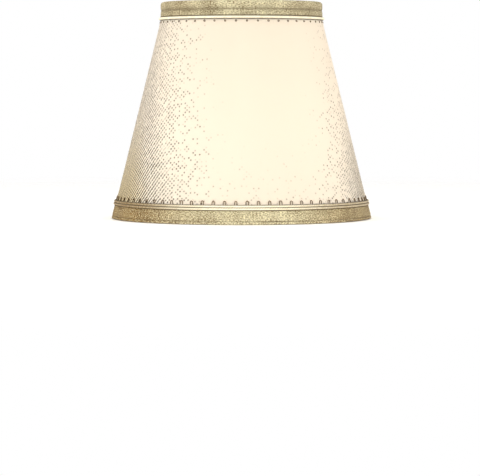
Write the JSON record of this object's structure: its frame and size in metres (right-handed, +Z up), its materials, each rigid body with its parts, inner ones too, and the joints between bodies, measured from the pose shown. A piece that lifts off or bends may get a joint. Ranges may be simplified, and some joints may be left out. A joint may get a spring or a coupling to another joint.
{
  "type": "lamp shade",
  "caption": "Empire lamp shade: a cloth-covered stiff cone with folded trim, corded piping and stitched edges, on wire rings with a spider fitter for a table lamp harp.",
  "frame": {"origin": "centre of the lower rim, on the surface that the shade stands on", "axes": "+Z up along the shade's axis, towards the fitter; +Y to the back, where the cloth laps; -Y to the front"},
  "size_m": [0.3295, 0.3294, 0.272],
  "materials": {
    "ring_wire": "drawn steel wire, satin",
    "ring_tape": "plain cotton tape",
    "spider_metal": "brass-plated, satin",
    "styrene_backing": "white translucent styrene sheet, fine matt",
    "cover_cloth": "cream woven cotton and linen, light comes through",
    "trim_cloth": "tan woven trim, folded",
    "piping_cloth": "cream bias-cut cotton round a cord",
    "filler_cord": "twisted cotton cord",
    "stitch_thread": "waxed brown thread"
  },
  "bodies": {
    "root": {"top_wire_ring": "ring_wire", "bottom_wire_ring": "ring_wire", "top_ring_tape": "ring_tape", "bottom_ring_tape": "ring_tape", "spider_hub": "spider_metal", "spider_arm_1": "spider_metal", "spider_arm_2": "spider_metal", "spider_arm_3": "spider_metal", "backing_cone": "styrene_backing", "cover_cloth": "cover_cloth", "top_band": "trim_cloth", "bottom_band": "trim_cloth", "top_piping_cover": "piping_cloth", "upper_welt_cover": "piping_cloth", "lower_welt_cover": "piping_cloth", "top_piping_cord": "filler_cord", "upper_welt_cord": "filler_cord", "lower_welt_cord": "filler_cord", "top_stitches": "stitch_thread", "bottom_stitches": "stitch_thread"}
  },
  "joints": []
}
